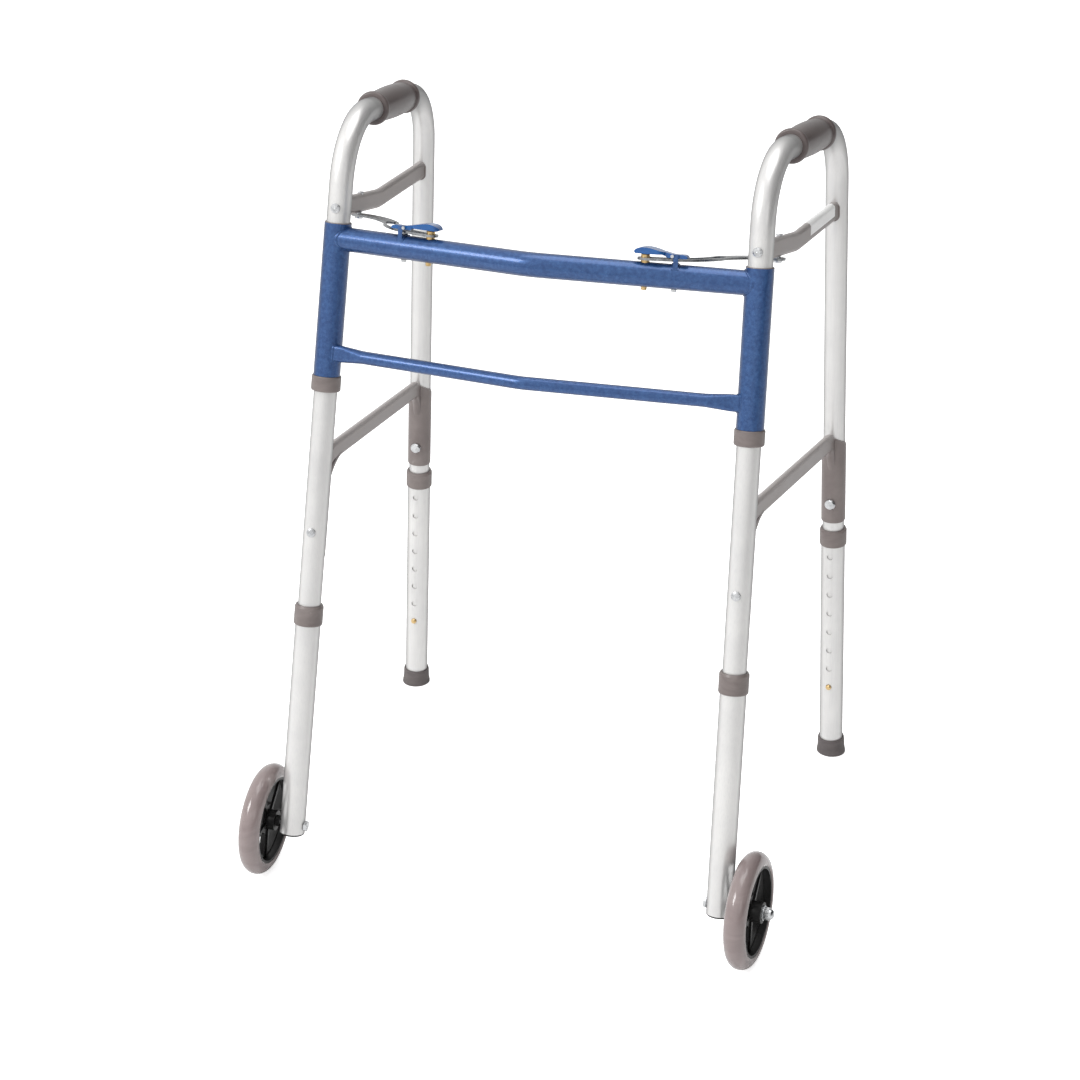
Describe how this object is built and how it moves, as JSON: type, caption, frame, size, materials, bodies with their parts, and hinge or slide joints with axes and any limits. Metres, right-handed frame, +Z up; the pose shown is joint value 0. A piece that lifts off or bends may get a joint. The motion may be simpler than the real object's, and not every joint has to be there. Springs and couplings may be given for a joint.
{
  "type": "walking frame",
  "caption": "Folding walking frame with two front wheels, rubber rear feet, hand grips, push-button height adjustment and a paddle-released fold on each side.",
  "frame": {"origin": "on the floor, midway between the two sides and midway between front and back", "axes": "+Z up, -Y towards the front cross tubes and wheels, +X towards the user's right hand"},
  "size_m": [0.6178, 0.5363, 0.8387],
  "materials": {
    "silver_tube": "satin anodised, lightly scuffed",
    "blue_paint": "blue hammered metallic paint",
    "grey_paint": "satin taupe grey paint",
    "grey_plastic": "moulded taupe grey plastic",
    "grip_grey": "soft dark grey grip, fine grain",
    "tip_rubber": "dark grey moulded rubber",
    "tyre_grey": "solid grey tyre, semi gloss",
    "black_plastic": "black moulded plastic",
    "blue_plastic": "bright blue moulded plastic",
    "brass": "turned brass",
    "zinc": "zinc plated",
    "spring_steel": "bright spring steel",
    "label_white": "blank white label"
  },
  "bodies": {
    "front_frame": {"cross_tube_top": "blue_paint", "cross_tube_lower": "blue_paint", "hinge_sleeves": "blue_paint", "weld_beads": "blue_paint", "hinge_bushes": "grey_plastic", "paddle_brackets": "blue_paint", "bracket_rivets": "zinc", "paddle_pins": "zinc", "lock_springs": "spring_steel"},
    "side_right": {"side_tube_right": "silver_tube", "hand_grip_right": "grip_grey", "upper_brace_right": "grey_paint", "lower_brace_right": "grey_paint", "pivot_collar_right": "grey_plastic", "brace_rivets_right": "zinc", "brace_bolt_right": "zinc", "latch_stud_right": "zinc", "button_springs_right": "spring_steel", "label_right": "label_white"},
    "leg_front_right": {"lower_leg_front_right": "silver_tube", "leg_collar_front_right": "grey_plastic", "end_plug_right": "black_plastic", "axle_bolt_right": "zinc", "axle_nut_right": "zinc", "wheel_spacer_right": "black_plastic"},
    "leg_rear_right": {"lower_leg_rear_right": "silver_tube", "leg_collar_rear_right": "grey_plastic", "rubber_tip_right": "tip_rubber"},
    "button_front_right": {"snap_button_front_right": "brass"},
    "button_rear_right": {"snap_button_rear_right": "brass"},
    "wheel_right": {"tyre_right": "tyre_grey", "wheel_hub_right": "black_plastic"},
    "strip_right": {"link_strip_right": "spring_steel"},
    "paddle_right": {"paddle_right": "blue_plastic"},
    "lock_pin_right": {"lock_pin_right": "brass"},
    "side_left": {"side_tube_left": "silver_tube", "hand_grip_left": "grip_grey", "upper_brace_left": "grey_paint", "lower_brace_left": "grey_paint", "pivot_collar_left": "grey_plastic", "brace_rivets_left": "zinc", "brace_bolt_left": "zinc", "latch_stud_left": "zinc", "button_springs_left": "spring_steel"},
    "leg_front_left": {"lower_leg_front_left": "silver_tube", "leg_collar_front_left": "grey_plastic", "end_plug_left": "black_plastic", "axle_bolt_left": "zinc", "axle_nut_left": "zinc", "wheel_spacer_left": "black_plastic"},
    "leg_rear_left": {"lower_leg_rear_left": "silver_tube", "leg_collar_rear_left": "grey_plastic", "rubber_tip_left": "tip_rubber"},
    "button_front_left": {"snap_button_front_left": "brass"},
    "button_rear_left": {"snap_button_rear_left": "brass"},
    "wheel_left": {"tyre_left": "tyre_grey", "wheel_hub_left": "black_plastic"},
    "strip_left": {"link_strip_left": "spring_steel"},
    "paddle_left": {"paddle_left": "blue_plastic"},
    "lock_pin_left": {"lock_pin_left": "brass"}
  },
  "joints": [
    {"name": "fold_right", "type": "hinge", "parent": "front_frame", "child": "side_right", "pos_m": [0.23077, -0.07254, 0.64374], "axis": [-0.03, 0.2185, 0.9754], "range_deg": [0, 80]},
    {"name": "strip_right", "type": "hinge", "parent": "side_right", "child": "strip_right", "pos_m": [0.23186, 0.00983, 0.71452], "axis": [-0.03, 0.2185, 0.9754], "range_deg": [-77.4, 0]},
    {"name": "height_front_right", "type": "slide", "parent": "side_right", "child": "leg_front_right", "axis": [0.03, -0.2185, -0.9754], "range_m": [0, 0.1778], "deforming": ["snap_button_front_right"]},
    {"name": "snap_button_front_right", "type": "slide", "parent": "side_right", "child": "button_front_right", "axis": [-0.0656, -0.9741, 0.2162], "range_m": [0, 0.005], "stiffness_N_per_m": 1500},
    {"name": "height_rear_right", "type": "slide", "parent": "side_right", "child": "leg_rear_right", "axis": [0.0445, 0.0149, -0.9989], "range_m": [0, 0.1778], "deforming": ["snap_button_rear_right"]},
    {"name": "snap_button_rear_right", "type": "slide", "parent": "side_right", "child": "button_rear_right", "axis": [0.0568, 0.9982, 0.0174], "range_m": [0, 0.005], "stiffness_N_per_m": 1500},
    {"name": "wheel_right", "type": "hinge", "parent": "leg_front_right", "child": "wheel_right", "pos_m": [0.28107, -0.20474, 0.06345], "axis": [0.9974, -0.0575, 0.0435], "continuous": true},
    {"name": "paddle_right", "type": "hinge", "parent": "front_frame", "child": "paddle_right", "pos_m": [0.14405, -0.07254, 0.7352], "axis": [0, -0.9758, 0.2186], "range_deg": [0, 5.5]},
    {"name": "lock_pin_right", "type": "slide", "parent": "front_frame", "child": "lock_pin_right", "axis": [0.03, -0.2185, -0.9754], "range_m": [0, 0.0029]},
    {"name": "fold_left", "type": "hinge", "parent": "front_frame", "child": "side_left", "pos_m": [-0.23077, -0.07254, 0.64374], "axis": [0.03, 0.2185, 0.9754], "range_deg": [-80, 0]},
    {"name": "strip_left", "type": "hinge", "parent": "side_left", "child": "strip_left", "pos_m": [-0.23186, 0.00983, 0.71452], "axis": [0.03, 0.2185, 0.9754], "range_deg": [0, 77.4]},
    {"name": "height_front_left", "type": "slide", "parent": "side_left", "child": "leg_front_left", "axis": [-0.03, -0.2185, -0.9754], "range_m": [0, 0.1778], "deforming": ["snap_button_front_left"]},
    {"name": "snap_button_front_left", "type": "slide", "parent": "side_left", "child": "button_front_left", "axis": [0.0656, -0.9741, 0.2162], "range_m": [0, 0.005], "stiffness_N_per_m": 1500},
    {"name": "height_rear_left", "type": "slide", "parent": "side_left", "child": "leg_rear_left", "axis": [-0.0445, 0.0149, -0.9989], "range_m": [0, 0.1778], "deforming": ["snap_button_rear_left"]},
    {"name": "snap_button_rear_left", "type": "slide", "parent": "side_left", "child": "button_rear_left", "axis": [-0.0568, 0.9982, 0.0174], "range_m": [0, 0.005], "stiffness_N_per_m": 1500},
    {"name": "wheel_left", "type": "hinge", "parent": "leg_front_left", "child": "wheel_left", "pos_m": [-0.28107, -0.20474, 0.06345], "axis": [0.9974, 0.0575, -0.0435], "continuous": true},
    {"name": "paddle_left", "type": "hinge", "parent": "front_frame", "child": "paddle_left", "pos_m": [-0.14405, -0.07254, 0.7352], "axis": [0, 0.9758, -0.2186], "range_deg": [0, 5.5]},
    {"name": "lock_pin_left", "type": "slide", "parent": "front_frame", "child": "lock_pin_left", "axis": [-0.03, -0.2185, -0.9754], "range_m": [0, 0.0029]}
  ],
  "couplings": [
    {"joint": "strip_right", "follows": "fold_right", "ratio": -0.961},
    {"joint": "lock_pin_right", "follows": "paddle_right", "m_per_rad": 0.029},
    {"joint": "strip_left", "follows": "fold_left", "ratio": -0.961},
    {"joint": "lock_pin_left", "follows": "paddle_left", "m_per_rad": 0.029}
  ]
}
